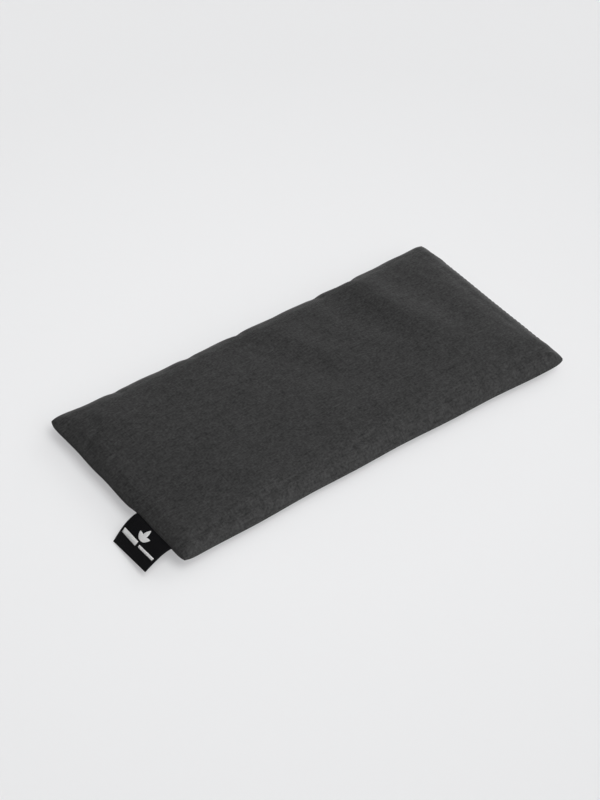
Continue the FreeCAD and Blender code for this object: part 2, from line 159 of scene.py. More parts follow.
class Bag:
    """Two equal cloth panels on one grid, sewn together along the rim of the filled chamber.

    Rows run along Y and columns along X.  top and bottom hold each grid point's vertex, and the
    outermost column beside the closing gap is left out, because the lip there holds no filling.
    """

    def __init__(self, length, width, spacing, corner, gap):
        self.columns = round(length / spacing)
        self.rows = round(width / spacing)
        x, y = np.meshgrid(
            np.linspace(-length / 2, length / 2, self.columns + 1),
            np.linspace(-width / 2, width / 2, self.rows + 1),
        )
        self.flat = np.stack([x, y], -1)
        self.round_corners(length, width, corner)
        outside = np.zeros(x.shape, bool)
        outside[(y[:, -1] > gap[0]) & (y[:, -1] < gap[1]), -1] = True
        cell = ~(outside[:-1, :-1] | outside[1:, :-1] | outside[:-1, 1:] | outside[1:, 1:])
        framed = np.zeros((self.rows + 2, self.columns + 2), bool)
        framed[1:-1, 1:-1] = cell
        touching = [framed[:-1, :-1], framed[1:, :-1], framed[:-1, 1:], framed[1:, 1:]]
        self.used = np.logical_or.reduce(touching)
        self.rim = self.used & ~np.logical_and.reduce(touching)
        self.cell = cell
        inner = self.used & ~self.rim
        self.top = np.full(x.shape, -1)
        self.top[self.used] = np.arange(self.used.sum())
        self.bottom = self.top.copy()
        self.bottom[inner] = self.used.sum() + np.arange(inner.sum())
        self.count = self.used.sum() + inner.sum()

    def round_corners(self, length, width, radius):
        """Pull the grid's corners in to a small radius, as a turned corner has."""
        half = np.array([length, width]) / 2
        share = np.clip((np.abs(self.flat) - (half - radius)) / radius, 0, 1)
        other = share[..., ::-1]
        rounded = half - radius * (1 - share * np.sqrt(1 - other * other / 2))
        corner = (share > 0).all(-1, keepdims=True)
        self.flat = np.where(corner, np.sign(self.flat) * rounded, self.flat)

    def faces(self):
        """Quads of both panels, the lower one's turned over."""
        made = []
        for j, i in zip(*np.nonzero(self.cell)):
            for layer, order in ((self.top, 1), (self.bottom, -1)):
                ring = [layer[j, i], layer[j, i + 1], layer[j + 1, i + 1], layer[j + 1, i]]
                made.append(tuple(int(v) for v in ring[::order]))
        return made

    def scatter(self, upper, lower):
        """Lay two grids of points out as one list of vertices."""
        points = np.zeros((self.count, 3))
        points[self.bottom[self.used]] = lower[self.used]
        points[self.top[self.used]] = upper[self.used]
        return points

    def gather(self, points):
        """Read the two grids back from a list of vertices, the lip's column left as nan."""
        grids = []
        for layer in (self.top, self.bottom):
            grid = np.full((*self.used.shape, 3), np.nan)
            grid[self.used] = points[layer[self.used]]
            grids.append(grid)
        return grids


def starting_shape(bag, thickness, reach):
    """A slack cushion: each panel rises from the rim in a parabola to a flat crown."""
    x, y = bag.flat[..., 0], bag.flat[..., 1]
    half_x, half_y = np.abs(x).max(), np.abs(y).max()
    inward = np.minimum(half_x - np.abs(x), half_y - np.abs(y))
    rise = thickness / 2 * (1 - (1 - np.clip(inward / reach, 0, 1)) ** 2)
    rise[bag.rim] = 0
    upper = np.stack([x, y, SEAM_Z + rise], -1)
    lower = np.stack([x, y, SEAM_Z - rise], -1)
    return upper, lower


SOLVER = dict(
    quality=5, mass=0.1, air_damping=10,
    tension_stiffness=30, compression_stiffness=10, shear_stiffness=5,
    bending_stiffness=0.5, bending_damping=0.5,
    use_pressure=True, use_pressure_volume=True, pressure_factor=20,
)


def simulate(bag, upper, lower, volume, steps=36):
    """Let Blender's cloth solver swell the sewn panels to a volume, at ten times life size."""
    scale = 10.0
    flat = np.concatenate([bag.flat, np.full((*bag.used.shape, 1), SEAM_Z)], -1)
    mesh = bpy.data.meshes.new("bag_cloth")
    mesh.from_pydata((bag.scatter(flat, flat) * scale).tolist(), [], bag.faces())
    cloth = put("bag_cloth", mesh)
    cloth.shape_key_add(name="flat")
    start = cloth.shape_key_add(name="start")
    start.data.foreach_set("co", (bag.scatter(upper, lower) * scale).ravel())
    start.value = 1.0
    solver = cloth.modifiers.new("cloth", "CLOTH")
    settings = solver.settings
    for name, value in SOLVER.items():
        setattr(settings, name, value)
    settings.rest_shape_key = cloth.data.shape_keys.key_blocks["flat"]
    settings.target_volume = volume * scale**3
    settings.effector_weights.gravity = 0
    solver.point_cache.frame_start = 1
    solver.point_cache.frame_end = steps
    for step in range(1, steps + 1):
        bpy.context.scene.frame_set(step)
    evaluated = cloth.evaluated_get(bpy.context.evaluated_depsgraph_get())
    points = np.empty(bag.count * 3)
    evaluated.data.vertices.foreach_get("co", points)
    bpy.context.scene.frame_set(1)
    bpy.data.objects.remove(cloth)
    bpy.data.meshes.remove(mesh)
    return bag.gather(points.reshape(-1, 3) / scale)


def fill_lip(bag, grid):
    """Draw the closing lip: its outer edge runs straight between the seam on either side of it."""
    rows = np.nonzero(~bag.used[:, -1])[0]
    first, last = rows[0] - 1, rows[-1] + 1
    share = (rows - first) / (last - first)
    straight = grid[first, -1] * (1 - share[:, None]) + grid[last, -1] * share[:, None]
    grid[rows, -1] = straight
    grid[rows, -1, 2] = grid[rows, -2, 2]
    return grid


def relax(grid, rounds):
    """Even out the grid's finest ripples, which are the solver's and not the cloth's."""
    for _ in range(rounds):
        around = (grid[:-2, 1:-1] + grid[2:, 1:-1] + grid[1:-1, :-2] + grid[1:-1, 2:]) / 4
        grid[1:-1, 1:-1] = (grid[1:-1, 1:-1] + around) / 2
        for edge in (grid[0], grid[-1], grid[:, 0], grid[:, -1]):
            edge[1:-1] = edge[1:-1] / 2 + (edge[:-2] + edge[2:]) / 4
    return grid


def finer(grid, times):
    """Resample a grid on a Catmull-Rom surface, times as fine both ways."""
    for _ in range(2):
        ends = np.concatenate([2 * grid[:1] - grid[1:2], grid, 2 * grid[-1:] - grid[-2:-1]])
        before, here, after, beyond = ends[:-3], ends[1:-2], ends[2:-1], ends[3:]
        strips = []
        for step in range(times):
            t = step / times
            strip = here + 0.5 * t * (after - before)
            strip = strip + t * t * (before - 2.5 * here + 2 * after - 0.5 * beyond)
            strips.append(strip + t**3 * (1.5 * (here - after) + 0.5 * (beyond - before)))
        body = np.stack(strips, 1).reshape(-1, *grid.shape[1:])
        grid = np.concatenate([body, grid[-1:]]).swapaxes(0, 1)
    return grid


# ------------ meshes


def smooth(start, end, value):
    """0 before start, 1 after end, and an even S between them; both ends in millimetres."""
    share = np.clip((value / MM - start) / (end - start), 0, 1)
    return share * share * (3 - 2 * share)


def bell(value, centre, spread):
    """A bump 1 high at centre, gone about two spreads away; both in millimetres."""
    return np.exp(-(((value / MM - centre) / spread) ** 2))


def fade(distance, reach):
    """1 at a border, dying away with distance from it; reach in millimetres."""
    return np.exp(-distance / (reach * MM))


def rolling(x, y, wavelength, waves=9):
    """A smooth random surface, about 1 high, of ripples near one wavelength in millimetres."""
    total = np.zeros(x.shape)
    for _ in range(waves):
        angle, phase = rng.uniform(0, 2 * np.pi, 2)
        pitch = 2 * np.pi / (wavelength * MM * rng.uniform(0.7, 1.4))
        total += np.sin(pitch * (x * np.cos(angle) + y * np.sin(angle)) + phase)
    return total / np.sqrt(waves)


def add_mesh(name, points, faces, material, uv=None):
    """Make a smooth-shaded object; uv holds each point's place on the cut cloth."""
    mesh = bpy.data.meshes.new(name)
    mesh.from_pydata(np.asarray(points).reshape(-1, 3).tolist(), [], faces)
    mesh.polygons.foreach_set("use_smooth", [True] * len(mesh.polygons))
    if uv is not None:
        layer = mesh.uv_layers.new(name="cut")
        corner = np.empty(len(mesh.loops), np.int32)
        mesh.loops.foreach_get("vertex_index", corner)
        layer.data.foreach_set("uv", np.asarray(uv).reshape(-1, 2)[corner].ravel())
    mesh.materials.append(material)
    mesh.update()
    return put(name, mesh)


def unit(vectors):
    """Vectors brought to a length of one."""
    return vectors / np.linalg.norm(vectors, axis=-1, keepdims=True)


def normals(grid):
    """Unit normals of a grid of points, upwards where rows run along +Y and columns along +X."""
    return unit(np.cross(np.gradient(grid, axis=1), np.gradient(grid, axis=0)))


def grid_faces(rows, columns, start=0, flip=False):
    """Quads of a grid of rows by columns points whose first vertex is start."""
    a = start + np.arange(rows * columns).reshape(rows, columns)[:-1, :-1]
    quads = np.stack([a, a + 1, a + columns + 1, a + columns], -1).reshape(-1, 4)
    return quads[:, ::-1] if flip else quads


def from_borders(x, y):
    """Distances from a grid's front, back, left and right borders."""
    return y - y[:1], y[-1:] - y, x - x[:, :1], x[:, -1:] - x


def rim_loop(rows, columns):
    """Vertex numbers round a grid's border, anticlockwise seen from above."""
    number = np.arange(rows * columns).reshape(rows, columns)
    return np.concatenate([number[0, :-1], number[:-1, -1], number[-1, :0:-1], number[:0:-1, 0]])


def two_layers(rows, columns):
    """Quads of two grids, one above the other, and the walls between their borders."""
    count = rows * columns
    loop = rim_loop(rows, columns)
    walls = np.stack([loop, count + loop, np.roll(count + loop, -1), np.roll(loop, -1)], -1)
    upper, lower = grid_faces(rows, columns), grid_faces(rows, columns, count, True)
    return np.concatenate([upper, lower, walls])


def tube(start, rings, sides):
    """Faces of a closed tube of rings of points whose first vertex is start."""
    number = start + np.arange(rings * sides).reshape(rings, sides)
    ahead = np.roll(number, -1, 1)
    walls = np.stack([number[:-1], ahead[:-1], ahead[1:], number[1:]], -1).reshape(-1, 4)
    return [*walls.tolist(), number[0, ::-1].tolist(), number[-1].tolist()]


def outwards(rim):
    """Level unit vectors that point out of an anticlockwise loop of points."""
    tangent = np.roll(rim, -1, 0) - np.roll(rim, 1, 0)
    out = unit(np.stack([tangent[:, 1], -tangent[:, 0]], -1))
    for _ in range(2):
        out = unit(out / 2 + (np.roll(out, -1, 0) + np.roll(out, 1, 0)) / 4)
    return out


def on_cover(piece, node):
    """Tie a piece to the cover's body, in place of its CAD node."""
    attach(piece, "cover")
    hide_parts(node)


# the fold at a seam, from the outside in: inset and height, as shares of the panel's edge
FOLD = ((0.06, 0.8), (0, 0.5), (0.08, 0.22))
LINING_INSET = 0.7 * MM


def panel_shell(name, outer, side, uv, seam, edge, parting, thickness, allowance, material):
    """Close one sewn panel: its outside, the fold at the seam, the allowance and the lining face.

    side is +1 on a top panel and -1 on a bottom one.  seam is the seam's height round the rim, edge
    is how far the outside stands from it there, and parting how far the fold stands off it.
    """
    rows, columns = outer.shape[:2]
    count = rows * columns
    loop = rim_loop(rows, columns)
    rim = outer.reshape(-1, 3)[loop]
    out = outwards(rim)
    lining = (outer - side * normals(outer) * thickness).reshape(-1, 3)
    outer = outer.reshape(-1, 3).copy()

    def ring(inset, height):
        points = np.empty_like(rim)
        points[:, :2] = rim[:, :2] - out * np.reshape(inset, (-1, 1))
        points[:, 2] = seam + side * height
        return points

    outer[loop] = ring(0.3 * edge, edge)
    lining[loop] = ring(LINING_INSET, parting + thickness + FOLD_GAP)
    rings = [
        *[ring(inset * edge, height * edge) for inset, height in FOLD],
        ring(0.35 * edge, parting + 0.02 * edge),
        ring(allowance, parting),
        ring(allowance, parting + thickness),
        ring(LINING_INSET, parting + thickness),
    ]
    points = np.concatenate([outer, lining, *rings])
    starts = 2 * count + len(loop) * np.arange(len(rings))
    chain = [loop, *[start + np.arange(len(loop)) for start in starts], count + loop]
    faces = [grid_faces(rows, columns), grid_faces(rows, columns, count, True)]
    for above, below in zip(chain, chain[1:]):
        faces.append(np.stack([above, below, np.roll(below, -1), np.roll(above, -1)], -1))
    faces = np.concatenate(faces)
    flat = uv.reshape(-1, 2)
    beyond = [flat[loop] + out * (k + 1) * 0.3 * MM for k in range(len(rings))]
    whole = np.concatenate([flat, flat, *beyond])
    faces = faces if side > 0 else faces[:, ::-1]
    return add_mesh(name, points, faces.tolist(), material, whole)


def closed_form(name, upper, lower, material, uv):
    """One closed solid between two grids that share their border."""
    rows, columns = upper.shape[:2]
    inner = np.zeros((rows, columns), bool)
    inner[1:-1, 1:-1] = True
    below = np.arange(rows * columns).reshape(rows, columns)
    below[inner] = rows * columns + np.arange(inner.sum())
    points = np.concatenate([upper.reshape(-1, 3), lower[inner]])
    top = grid_faces(rows, columns)
    bottom = np.stack([below[:-1, :-1], below[1:, :-1], below[1:, 1:], below[:-1, 1:]], -1)
    faces = np.concatenate([top, bottom.reshape(-1, 4)])
    uv = np.concatenate([uv.reshape(-1, 2), uv[inner]])
    return add_mesh(name, points, faces.tolist(), material, uv)


def strip_solid(name, centre, across, thickness, material, uv):
    """A thin closed strip round a grid of points; across is its unit normal at each point."""
    rows, columns = centre.shape[:2]
    points = np.concatenate([
        (centre + across * thickness / 2).reshape(-1, 3),
        (centre - across * thickness / 2).reshape(-1, 3),
    ])
    flat = uv.reshape(-1, 2)
    faces = two_layers(rows, columns).tolist()
    return add_mesh(name, points, faces, material, np.concatenate([flat, flat]))


def run_along(line):
    """Each point's distance along a line of points."""
    return np.concatenate([[0], np.cumsum(np.linalg.norm(np.diff(line, axis=0), axis=1))])


def on_line(at, run, line, reach):
    """Points at some distances along a line, and its direction there over reach both ways."""
    here, ahead, behind = (
        np.stack([np.interp(at + step, run, column) for column in line.T], -1)
        for step in (0, reach, -reach)
    )
    return here, unit(ahead - behind)


def stitches(name, path, pitch, side, radius, material, sides=8, steps=9):
    """A row of stitches: each comes out of its hole, lies along the seam and goes down again."""
    run = run_along(path)
    number = int(run[-1] // pitch)
    upward = np.array([0.0, 0.0, side])
    share = np.linspace(-1, 1, steps)
    turn = np.linspace(0, 2 * np.pi, sides, endpoint=False)
    points, faces = [], []
    at = (np.arange(number) + 0.5) * run[-1] / number
    for place, tangent in zip(*on_line(at, run, path, pitch / 3)):
        sideways = np.cross(upward, tangent)
        tangent = tangent + sideways * rng.normal(0, 0.05)
        reach = STITCH * rng.uniform(0.94, 1.0) / 2
        start = len(points) * steps * sides
        rings = []
        for s in share:
            dip = radius * (1.0 - 1.9 * abs(s) ** 5)
            centre = place + tangent * s * reach + upward * dip
            slope = -9.5 * radius * s * abs(s) ** 3 / reach
            ahead = unit(tangent + upward * slope)
            over = np.cross(sideways, ahead)
            thin = radius * (1 - 0.3 * abs(s) ** 6)
            for a in turn:
                ply = thin * (1 + 0.07 * np.cos(2 * a + 9 * s))
                rings.append(centre + (sideways * np.cos(a) - over * np.sin(a)) * ply)
        points.append(rings)
        faces += tube(start, steps, sides)
    piece = add_mesh(name, np.array(points), faces, material)
    piece.data.flip_normals()
    return piece


# ------------ materials


class Nodes:
    """A short way to write the node tree of a material or a world."""

    def __init__(self, owner, shader):
        self.owner = owner
        owner.use_nodes = True
        self.tree = owner.node_tree
        self.shader = self.tree.nodes[shader]

    def add(self, kind, **values):
        node = self.tree.nodes.new(kind)
        for key, value in values.items():
            setattr(node, key, value)
        return node

    def link(self, output, socket):
        if isinstance(output, (int, float, tuple)):
            socket.default_value = output
        else:
            self.tree.links.new(output, socket)

    def math(self, operation, *values, clamp=False):
        node = self.add("ShaderNodeMath", operation=operation, use_clamp=clamp)
        for value, socket in zip(values, node.inputs):
            self.link(value, socket)
        return node.outputs[0]

    def total(self, first, *others, clamp=False):
        """Add numbers up; the sum may be held between 0 and 1."""
        for number, other in enumerate(others, start=1):
            first = self.math("ADD", first, other, clamp=clamp and number == len(others))
        return first

    def feed(self, node, **values):
        """Set or link a node's inputs by name, with an underscore for a space."""
        for key, value in values.items():
            self.link(value, node.inputs[key.replace("_", " ")])
        return node

    def split(self, vector):
        """The three parts of a vector."""
        return list(self.feed(self.add("ShaderNodeSeparateXYZ"), Vector=vector).outputs)

    def cut(self):
        """Coordinates on the cut cloth, in metres."""
        return self.split(self.add("ShaderNodeUVMap", uv_map="cut").outputs["UV"])[:2]

    def place(self):
        """Coordinates in the object's own space, in metres."""
        return self.split(self.add("ShaderNodeTexCoord").outputs["Object"])

    def noise(self, place, scales, detail=2.0, roughness=0.5):
        """Noise at a place, so many waves to the metre along each coordinate, or along all.

        A plain number in the place is a seed, which sets one noise apart from another.
        """
        join = self.add("ShaderNodeCombineXYZ")
        factors = (*scales, 1) if isinstance(scales, tuple) else (scales,) * 3
        for value, factor, socket in zip(place, factors, join.inputs):
            self.link(value if isinstance(value, float) else self.scaled(value, factor), socket)
        node = self.add("ShaderNodeTexNoise")
        self.feed(node, Scale=1.0, Detail=detail, Roughness=roughness, Vector=join.outputs[0])
        return node.outputs["Fac"]

    def swing(self, noise, factor):
        """How far a noise stands from its middle, times a factor."""
        return self.scaled(self.math("SUBTRACT", noise, 0.5), factor)

    def scaled(self, value, factor):
        return self.math("MULTIPLY", value, float(factor))

    def mix(self, share, first, second):
        node = self.add("ShaderNodeMix", data_type="RGBA")
        return self.feed(node, Factor=share, A=first, B=second).outputs["Result"]

    def bump(self, height, distance):
        node = self.add("ShaderNodeBump")
        return self.feed(node, Strength=1.0, Distance=distance, Height=height).outputs["Normal"]

    def ripple(self, value, pitch):
        """A sine wave of one pitch."""
        return self.math("SINE", self.scaled(value, 2 * math.pi / pitch))

    def weave(self, u, v, pitch):
        """Plain weave: +1 where the threads along u are on top, -1 where the others are."""
        return self.math("MULTIPLY", self.ripple(u, 2 * pitch), self.ripple(v, 2 * pitch))

    def ramp(self, value, source, result, shape="LINEAR"):
        """Map one range of a value onto another."""
        node = self.add("ShaderNodeMapRange", interpolation_type=shape)
        self.feed(node, Value=value, From_Min=source[0], From_Max=source[1])
        return self.feed(node, To_Min=result[0], To_Max=result[1]).outputs["Result"]

    def set(self, **values):
        """Set the shader's inputs and give back the material or world."""
        self.feed(self.shader, **values)
        return self.owner


def new_material(name):
    return Nodes(bpy.data.materials.new(name), "Principled BSDF")


def cotton(name, dark, light, pitch, sheen, mottle=1.0):
    """Plain-woven cotton of slubby yarns: each yarn's own tone, loose fibre, and a fine weave, with
    painted shade in the gaps between the yarns.
    """
    n = new_material(name)
    u, v = n.cut()
    checker = n.weave(u, v, pitch)
    over = n.total(n.scaled(checker, 1.5), 0.5, clamp=True)
    per_yarn = 1 / (1.3 * pitch)
    warp = n.noise((u, v, 0.0), (70, per_yarn), roughness=0.6)
    weft = n.noise((u, v, 7.0), (per_yarn, 70), roughness=0.6)
    fibre = n.noise((u, v, 3.0), (760, 960))
    tuft = n.noise((u, v, 6.0), (260, 330), 1.0, 0.5)
    fuzz = n.noise((u, v, 8.0), 2600, roughness=0.6)
    cloud = n.noise((u, v, 5.0), (45, 60), 3.0, 0.55)
    under = n.math("SUBTRACT", 1.0, over)
    yarn = n.total(n.math("MULTIPLY", warp, over), n.math("MULTIPLY", weft, under))
    # the weave term is painted shade: lighter on the yarn crowns, darker in the gaps between yarns,
    # following the bump
    tone = n.total(
        n.swing(yarn, 1.0 * mottle), n.swing(fibre, 1.25 * mottle),
        n.swing(tuft, 0.55 * mottle), n.swing(cloud, 0.25 * mottle),
        n.scaled(n.math("ABSOLUTE", checker), 0.25), 0.38, clamp=True,
    )
    height = n.total(n.math("ABSOLUTE", checker), n.scaled(fuzz, 0.5), n.scaled(yarn, 0.6))
    return n.set(
        Base_Color=n.mix(tone, dark, light), Roughness=0.92, Specular_IOR_Level=0.18,
        Sheen_Weight=sheen, Sheen_Roughness=0.4, Sheen_Tint=(1.0, 0.99, 0.98, 1),
        Normal=n.bump(height, 0.035 * MM),
    )


def satin(name, dark, light):
    """A tight glossy ribbon: fine lengthwise yarns, a faint cross rib and a few caught fibres."""
    n = new_material(name)
    u, v = n.cut()
    warp = n.noise((u, v, 2.0), (9000, 260))
    fibre = n.noise((u, v, 9.0), 2600, 3.0, 0.7)
    tone = n.total(n.scaled(warp, 0.7), n.scaled(fibre, 0.4), clamp=True)
    rib, yarns = n.ripple(v, 0.28 * MM), n.ripple(u, 0.16 * MM)
    height = n.total(n.scaled(rib, 0.5), n.scaled(yarns, 0.4), n.scaled(fibre, 0.5))
    return n.set(
        Base_Color=n.mix(tone, dark, light), Roughness=n.total(n.scaled(fibre, 0.2), 0.42),
        Specular_IOR_Level=0.08, Sheen_Weight=0.01, Sheen_Roughness=0.4, Anisotropic=0.3,
        Normal=n.bump(height, 0.03 * MM),
    )


def woven_mark(name, dark, light):
    """White floats of the ribbon's second weft, packed side by side, with painted shade in the
    grooves between them.
    """
    n = new_material(name)
    u, v = n.cut()
    rows = n.ripple(v, 0.22 * MM)
    fibre = n.noise((u, v, 4.0), (1800, 6000), 3.0, 0.6)
    # the rows term is painted shade: darker in the grooves between the floats, following their bump
    tone = n.total(n.scaled(rows, 0.25), n.scaled(fibre, 0.9), clamp=True)
    return n.set(
        Base_Color=n.mix(tone, dark, light), Roughness=0.6, Specular_IOR_Level=0.3,
        Sheen_Weight=0.15, Normal=n.bump(n.total(rows, fibre), 0.03 * MM),
    )


def twisted(name, dark, light, pitch=0.6 * MM):
    """Two-ply sewing thread: the twist shows as fine slanting bands, in relief and as painted shade
    in the grooves between the plies.
    """
    n = new_material(name)
    x, y, z = n.place()
    ply = n.ripple(n.total(x, y, n.scaled(z, 1.4)), pitch)
    fuzz = n.noise((x, y, z), 5000, roughness=0.6)
    # the ply term is painted shade: darker in the grooves between the plies, following the bump
    tone = n.total(n.scaled(ply, 0.35), fuzz, clamp=True)
    return n.set(
        Base_Color=n.mix(tone, dark, light), Roughness=0.7, Specular_IOR_Level=0.3,
        Sheen_Weight=0.15, Normal=n.bump(n.total(ply, fuzz), 0.04 * MM),
    )


# ------------ the cover's shape

CUT_LENGTH = LENGTH + 0.8 * MM
CUT_WIDTH = WIDTH + 0.6 * MM
SPACING = 2.4 * MM
CLOTH = 0.40 * MM
ALLOWANCE = 6 * MM
# how far each side stands from the seam at the rim, and how far the two folds stand apart
EDGE, LIP_EDGE = 0.85 * MM, 0.92 * MM
FOLD_GAP = 0.03 * MM
PLY_GAP = 0.26 * MM
STITCH = 2.3 * MM
SEAM_PITCH, CLOSING_PITCH = 2.6 * MM, 2.8 * MM
LABEL_FRONT, LABEL_BACK = label_low.y, label_high.y
LEVEL_TOP = CROWN_Z - 0.45 * MM
LOWEST = 0.15 * MM
SEAM_SAG, SEAM_DROOP = 3.2 * MM, 0.9 * MM
# how quickly the sides rise from the seams: more of each is a fuller, rounder pillow
FULL_HEIGHT = 10.4 * MM
TOP_FIRMNESS, BOTTOM_FIRMNESS = 1.15, 1.35
RIGHT_SHOULDER, FRONT_SHOULDER, LEFT_SHOULDER = 0.5, 0.06, 0.3
# The rows below are in millimetres.  Notches and bows of a seam: place, how far out, half width.
REAR_NOTCHES = [(place, -0.75, 3.2) for place in (-79, -36, -7, 42, 65)]
REAR_BOWS = [(-92, -0.4, 18), (57, -0.5, 8), (-8, 0.3, 20)]
LEFT_BOWS = [(40, -0.5, 16), (-8, 0.35, 16)]
# tucks in a seam and folds across it: place, depth, slant
REAR_TUCKS = [(place, 0.5, 0) for place, _, _ in REAR_NOTCHES]
LEFT_TUCKS = [(45, 0.55, 0), (28, 0.7, 0), (10, 0.4, 0), (-9, 0.3, 0)]
FRONT_FOLDS = [(-51, 0.75, -2.2), (-66, 0.45, -1.6), (84, 0.4, -1.2)]
# the crown's soft ridges: place, height, half width, slant
RIDGES = [(67, 2.0, 10.5, 0.2), (13, 0.8, 8.5, 0.5)]
# where the crown falls towards the left end: depth, limits from the left seam, limits along Y
FALLS = [(1.0, (30, 10), (-40, 25)), (2.3, (56, 6), (30, -10)), (1.1, (14, 1), (15, 46))]


def seam_height(x, y):
    """The seam's height: level, except that the long front seam sags between its corners."""
    across = np.clip(np.abs(x) / (LENGTH / 2), 0, 1)
    sag = SEAM_SAG * (1 - across**4) * fade(y + WIDTH / 2, 22)
    droop = SEAM_DROOP * smooth(60, 115, x) * smooth(-20, -57, y)
    return SEAM_Z - sag - droop


def puckers(distance, along, crease, spots, lean, fold=1.0):
    """Relief beside one seam: a scalloped crease over the pouch's edge and puckers outside it.

    The crease and each spot's place and depth are in millimetres.
    """
    scallop = crease + 0.4 * np.sin(along / (2.9 * MM) + 3 * np.sin(along / (19 * MM)))
    scallop += 0.4 * np.sin(along / (8.3 * MM) + 1)
    relief = fold * (0.62 * bell(distance, 0.5 * scallop, 2.3) - 0.7 * bell(distance, scallop, 1.4))
    reach = smooth(crease + 2, crease - 4, distance)
    for spot, depth, slant in spots:
        line = spot + (lean + slant) * distance / MM
        relief -= depth * bell(along, line, 1.5) * reach * smooth(0, 2, distance)
        relief += 0.4 * depth * bell(along, line + 3, 2) * reach
    return relief * MM


def random_spots(end, gap, depth):
    """Pucker places from -end to end, in millimetres, each with its own depth and slant."""
    spots = []
    place = -end + gap * rng.uniform(0.3, 1)
    while place < end:
        spots.append((place, depth * rng.uniform(0.2, 1.2), rng.uniform(-0.5, 0.5)))
        place += gap * rng.uniform(0.35, 1.65)
    return spots


def swell(height, firmness):
    """How full the bag is at a point, 0 at the seam to 1, from the height the simulation gives."""
    share = np.clip(height / FULL_HEIGHT, 0, 1.1)
    return np.tanh(firmness * share) / math.tanh(firmness)


def bends(along, rows):
    """How far a seam stands outwards at each place along it, in millimetres."""
    return sum(out * bell(along, place, wide) for place, out, wide in rows)


def pull_in(grid):
    """Notch and bow the four seams, seen from above; each bend dies away inwards."""
    x, y = grid[..., 0].copy(), grid[..., 1].copy()
    front, back, left, right = from_borders(x, y)
    between = 1 - np.clip(np.abs(x) / (LENGTH / 2), 0, 1) ** 4
    rear = bends(x, REAR_BOWS) + 0.35 * np.sin(x / (7 * MM) + 1) ** 2
    rear = rear * fade(back, 12) + bends(x, REAR_NOTCHES) * fade(back, 9)
    wander = 0.2 * np.sin(x / (9 * MM)) + 0.15 * np.sin(x / (23 * MM) + 2)
    fore = 1.8 * between + wander + 0.5 * smooth(-40, 60, x) - 0.1
    grid[..., 1] += MM * (rear - 0.5 * between * fade(back, 14) + fore * fade(front, 14))
    end = 0.15 * np.sin(y / (4.4 * MM)) - bends(y, LEFT_BOWS)
    lip = smooth(-6, 0, y - GAP_LOW) * smooth(6, 0, y - GAP_HIGH)
    lip *= 0.4 + 0.9 * smooth(-20, 38, y)
    grid[..., 0] += MM * (end * fade(left, 10) + lip * fade(right, 12))


def crown_relief(x, y, left):
    """How far the crown stands above or below level: rolls, ridges, and falls to the left end."""
    relief = 0.22 * rolling(x, y, 60) + 0.09 * rolling(x, y, 22) + 0.05 * rolling(x, y, 9)
    for crest, high, wide, slant in RIDGES:
        ridge = x - (crest * MM - slant * (y - 20 * MM))
        shape = bell(ridge, 0, wide) - 0.4 * bell(ridge, -1.8 * wide, 0.9 * wide)
        relief += high * shape * smooth(-35, 20, y)
    for depth, inwards, across in FALLS:
        relief -= depth * smooth(*inwards, left) * smooth(*across, y)
    corner = (x + LENGTH / 2) - 0.2 * (y - 57 * MM)
    wrinkles = np.sin(corner / (1.9 * MM) + y / (5 * MM))
    return MM * (relief + 0.22 * wrinkles * bell(left, 12, 10) * smooth(8, 45, y))


def seam_relief(x, y, front, back, left, right):
    """The puckers and creases of the upper side along its four seams."""
    gathers = random_spots(110, 13, 0.4) + FRONT_FOLDS
    bumps = puckers(front, x, 6.5, gathers, 0.15)
    bumps += 0.2 * MM * rolling(x, y, 7) * bell(front, 3.2, 3.2)
    bumps += puckers(back, x, 7.2, REAR_TUCKS + random_spots(110, 34, 0.16), 0.1, 0.25)
    bumps += puckers(left, y, 13, LEFT_TUCKS, 0.43, 0.12)
    return bumps + puckers(right, y, 8.4, random_spots(55, 21, 0.16), 0.2, 0.2)


def shape_cover(upper, lower):
    """Lay the swollen bag down and give it the creases of a sewn, seed-filled pillow, in place.

    Returns how far the two sides stand from the seam's height at the rim.
    """
    for grid in (upper, lower):
        pull_in(grid)
    x, y = upper[..., 0], upper[..., 1]
    borders = from_borders(x, y)
    front, back, left, right = borders
    seam = seam_height(x, y)
    lip = smooth(-3, 0, y - GAP_LOW) * smooth(3, 0, y - GAP_HIGH)
    edge = EDGE + (LIP_EDGE - EDGE) * lip * smooth(4, 2.5, right)
    shoulder = RIGHT_SHOULDER * smooth(14, 2, right) * smooth(0, 20, WIDTH / 2 - np.abs(y))
    shoulder += FRONT_SHOULDER * smooth(16, 7, front) * smooth(0, 20, LENGTH / 2 - np.abs(x))
    shoulder += LEFT_SHOULDER * smooth(18, 5, left) * smooth(20, -10, y)
    rise = np.clip(swell(upper[..., 2] - SEAM_Z, TOP_FIRMNESS), 0, None) ** (1 - shoulder)
    sink = swell(SEAM_Z - lower[..., 2], BOTTOM_FIRMNESS)

    top = LEVEL_TOP + crown_relief(x, y, left)
    bumps = seam_relief(x, y, *borders)
    off_rim = smooth(0, 3, np.minimum.reduce(borders))
    upper[..., 2] = seam + edge + (top - seam - edge) * rise + bumps * off_rim

    floor = 0.5 + 0.15 * rolling(x, y, 40) + 1.2 * smooth(26, 0, left) * smooth(15, 55, y)
    under = puckers(front, x, 7, random_spots(110, 19, 0.4), -0.1)
    under += puckers(back, x, 7, random_spots(110, 17, 0.4), 0.1)
    under += puckers(left, y, 7, random_spots(50, 18, 0.3), 0.1)
    under += puckers(right, y, 8, random_spots(50, 20, 0.2), 0.1)
    rolled = smooth(4, 0, left) * smooth(1, 9, y - LABEL_BACK)
    under_edge = edge + 1.5 * MM * rolled * smooth(4, 22, WIDTH / 2 - y)
    low = seam - under_edge
    lower[..., 2] = np.maximum(low - (low - floor * MM) * sink - under * off_rim, LOWEST)
    return edge, under_edge


